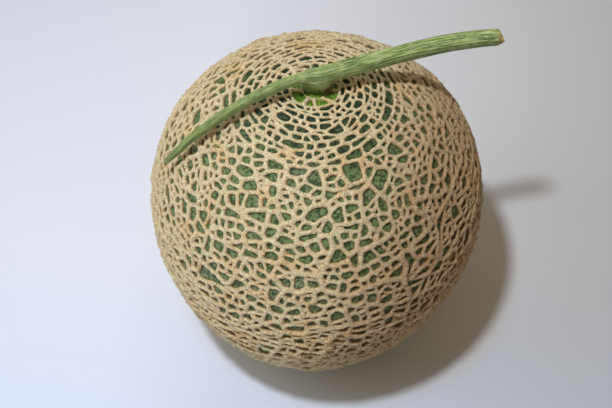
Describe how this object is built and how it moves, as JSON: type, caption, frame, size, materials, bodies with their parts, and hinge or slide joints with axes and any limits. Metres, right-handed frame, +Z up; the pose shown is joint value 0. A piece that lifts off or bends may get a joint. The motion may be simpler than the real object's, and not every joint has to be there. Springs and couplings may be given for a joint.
{
  "type": "netted melon",
  "caption": "Round musk melon with a raised corky net over green rind, resting on a small flat spot, with a T-shaped piece of vine on its crown.",
  "frame": {"origin": "centre of the flat spot that the fruit rests on", "axes": "+Z up from the rest spot to the crown, +X along the vine towards its thick cut end, -Y the front of the fruit"},
  "size_m": [0.1419, 0.141, 0.1496],
  "materials": {
    "netted_rind": "matte",
    "green_vine": "satin"
  },
  "bodies": {
    "root": {"melon_fruit": "netted_rind", "vine_stem": "green_vine"}
  },
  "joints": []
}
